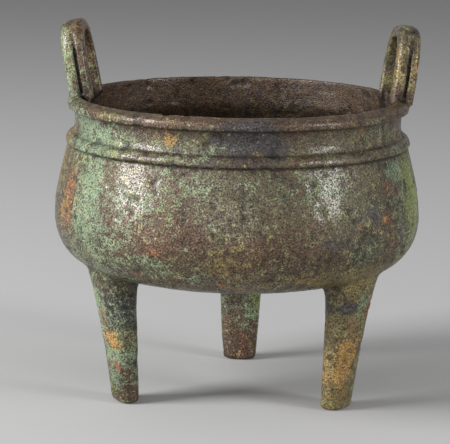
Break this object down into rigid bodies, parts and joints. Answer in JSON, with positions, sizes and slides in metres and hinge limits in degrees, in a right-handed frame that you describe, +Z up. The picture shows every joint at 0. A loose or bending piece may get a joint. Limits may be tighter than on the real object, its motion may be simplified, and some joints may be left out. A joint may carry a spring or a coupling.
{
  "type": "bronze ding vessel",
  "caption": "Round archaic bronze ding: deep open cooking bowl on tapering legs, with a thick everted rim, a raised line round the neck and upright grooved loop ears.",
  "frame": {"origin": "on the floor, under the middle of the bowl", "axes": "+Z up, the front with its two legs faces -Y, the ears stand at about -X and +X"},
  "size_m": [0.2186, 0.2186, 0.2227],
  "materials": {
    "patinated_bronze": "mottled green and brown patina, half dull"
  },
  "bodies": {
    "root": {"ding_vessel": "patinated_bronze"}
  },
  "joints": []
}
